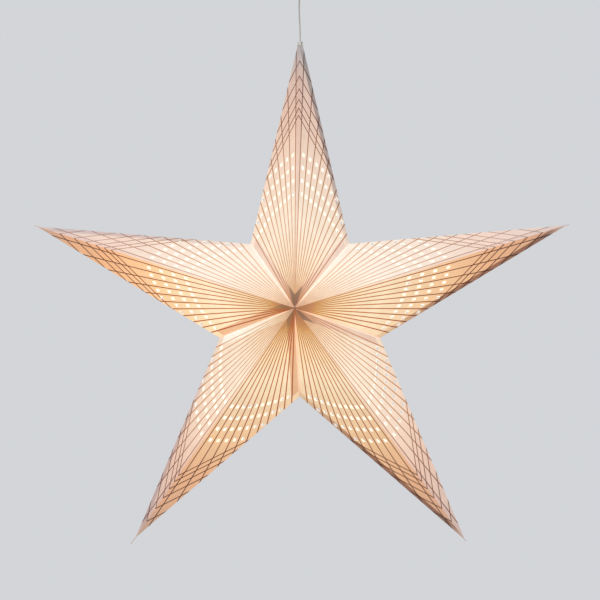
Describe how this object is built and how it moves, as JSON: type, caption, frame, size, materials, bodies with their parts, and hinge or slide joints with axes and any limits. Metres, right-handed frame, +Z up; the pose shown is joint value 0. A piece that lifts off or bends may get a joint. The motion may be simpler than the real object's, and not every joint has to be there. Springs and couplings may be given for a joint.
{
  "type": "paper star lantern",
  "caption": "Five-pointed folded and punched paper star lantern with a small screw-cap lamp, hung on a thin cord from a ceiling cup.",
  "frame": {"origin": "centre of the bracket's upper face, where it meets the ceiling, midway between the two fixing slots", "axes": "+Z up, -Y towards the lantern's pictured front, +X to the right as seen from the front; the lantern hangs below the origin"},
  "size_m": [0.6052, 0.2138, 0.6857],
  "materials": {
    "printed_card": "matt cream card with fine printed lines, lit from inside",
    "tape_clear": "thin double-sided tape",
    "cord_grey": "smooth pale grey sheath",
    "white_plastic": "satin moulded plastic",
    "cup_white": "satin white paint on sheet steel",
    "zinc_steel": "zinc-plated steel",
    "lead_blue": "insulated copper lead",
    "brass_plate": "bright brass",
    "ball_rubber": "matt moulded rubber",
    "insert_ceramic": "unglazed insulating block",
    "lamp_cap_metal": "plain pressed cap",
    "board_white": "white coated board",
    "globe_opal": "opal globe, lit warm white"
  },
  "bodies": {
    "ceiling_fitting": {"ceiling_bracket": "zinc_steel", "ceiling_cup": "cup_white", "cup_screws": "zinc_steel", "driver_case": "white_plastic", "driver_leads": "lead_blue", "terminal_block": "white_plastic", "terminal_screws": "brass_plate", "cord_grip": "white_plastic", "grip_nut": "zinc_steel", "grip_screw": "zinc_steel", "cord_tail": "cord_grey"},
    "swing_link": {"grip_ball": "ball_rubber"},
    "pendant": {"cord": "cord_grey", "holder_cap": "white_plastic", "holder_screw": "zinc_steel", "holder_body": "white_plastic", "holder_insert": "insert_ceramic", "screw_shell": "brass_plate", "centre_spring": "brass_plate"},
    "stop": {"cord_stop": "white_plastic", "stop_screw": "zinc_steel"},
    "star": {"tip_collar": "white_plastic", "seam_tapes": "tape_clear", "point_top": "printed_card", "point_right": "printed_card", "point_lower_right": "printed_card", "point_lower_left": "printed_card", "point_left": "printed_card"},
    "lamp_lift": {"bulb_contact": "zinc_steel"},
    "lamp": {"bulb_cap": "lamp_cap_metal", "bulb_housing": "white_plastic", "led_board": "board_white", "bulb_globe": "globe_opal"}
  },
  "joints": [
    {"name": "swing_forward", "type": "hinge", "parent": "ceiling_fitting", "child": "swing_link", "pos_m": [0, 0, -0.044], "axis": [1, 0, 0], "range_deg": [-20, 20]},
    {"name": "swing_sideways", "type": "hinge", "parent": "swing_link", "child": "pendant", "pos_m": [0, 0, -0.044], "axis": [0, 1, 0], "range_deg": [-20, 20]},
    {"name": "stop_slide", "type": "slide", "parent": "pendant", "child": "stop", "axis": [0, 0, 1], "range_m": [-0.015, 0.012]},
    {"name": "star_turn", "type": "hinge", "parent": "stop", "child": "star", "pos_m": [0, 0, -0.12], "axis": [0, 0, 1], "continuous": true},
    {"name": "lamp_travel", "type": "slide", "parent": "pendant", "child": "lamp_lift", "axis": [0, 0, 1], "range_m": [-0.018, 0]},
    {"name": "lamp_screw", "type": "hinge", "parent": "lamp_lift", "child": "lamp", "pos_m": [0, 0, -0.38], "axis": [0, 0, 1], "range_deg": [-2400, 2400]}
  ],
  "couplings": [
    {"joint": "lamp_screw", "follows": "lamp_travel", "rad_per_m": 2228.1}
  ]
}
